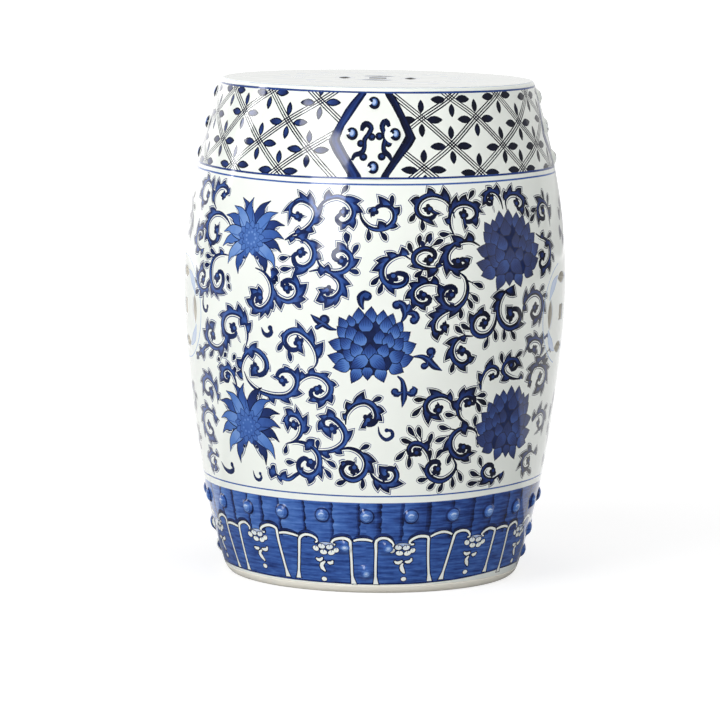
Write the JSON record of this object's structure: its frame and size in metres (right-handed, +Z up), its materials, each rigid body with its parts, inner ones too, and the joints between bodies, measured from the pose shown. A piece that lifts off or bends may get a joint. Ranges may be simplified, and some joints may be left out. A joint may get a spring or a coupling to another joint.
{
  "type": "ceramic garden stool",
  "caption": "Barrel-shaped glazed garden stool with a flat pierced seat, coin piercings in the sides, applied bosses and a bare foot ring.",
  "frame": {"origin": "centre of the foot ring on the ground", "axes": "+Z up along the axis of the barrel, front panel towards -Y, pierced coins towards +X and -X"},
  "size_m": [0.3504, 0.3506, 0.455],
  "materials": {
    "painted_glaze": "glossy clear glaze over white slip with cobalt painting",
    "white_glaze": "glossy white glaze",
    "blue_boss": "glossy cobalt wash",
    "ringed_boss": "glossy white glaze with a cobalt ring",
    "bare_clay": "unglazed fired clay"
  },
  "bodies": {
    "root": {"barrel_wall": "painted_glaze", "seat_slab": "white_glaze", "foot_ring": "bare_clay", "ring_boss_01": "blue_boss", "ring_boss_02": "blue_boss", "ring_boss_03": "blue_boss", "ring_boss_04": "blue_boss", "ring_boss_05": "blue_boss", "ring_boss_06": "blue_boss", "ring_boss_07": "blue_boss", "ring_boss_08": "blue_boss", "ring_boss_09": "blue_boss", "ring_boss_10": "blue_boss", "ring_boss_11": "blue_boss", "ring_boss_12": "blue_boss", "ring_boss_13": "blue_boss", "ring_boss_14": "blue_boss", "ring_boss_15": "blue_boss", "ring_boss_16": "blue_boss", "ring_boss_17": "blue_boss", "ring_boss_18": "blue_boss", "ring_boss_19": "blue_boss", "ring_boss_20": "blue_boss", "ring_boss_21": "blue_boss", "ring_boss_22": "blue_boss", "ring_boss_23": "blue_boss", "ring_boss_24": "blue_boss", "front_foot_boss_left": "blue_boss", "front_foot_boss_right": "blue_boss", "front_foot_boss_bottom": "blue_boss", "right_foot_boss_left": "blue_boss", "right_foot_boss_right": "blue_boss", "right_foot_boss_bottom": "blue_boss", "back_foot_boss_left": "blue_boss", "back_foot_boss_right": "blue_boss", "back_foot_boss_bottom": "blue_boss", "left_foot_boss_left": "blue_boss", "left_foot_boss_right": "blue_boss", "left_foot_boss_bottom": "blue_boss", "front_panel_boss_top": "ringed_boss", "front_panel_boss_left": "ringed_boss", "front_panel_boss_right": "ringed_boss", "front_panel_boss_bottom": "ringed_boss", "right_panel_boss_top": "ringed_boss", "right_panel_boss_left": "ringed_boss", "right_panel_boss_right": "ringed_boss", "right_panel_boss_bottom": "ringed_boss", "back_panel_boss_top": "ringed_boss", "back_panel_boss_left": "ringed_boss", "back_panel_boss_right": "ringed_boss", "back_panel_boss_bottom": "ringed_boss", "left_panel_boss_top": "ringed_boss", "left_panel_boss_left": "ringed_boss", "left_panel_boss_right": "ringed_boss", "left_panel_boss_bottom": "ringed_boss"}
  },
  "joints": []
}
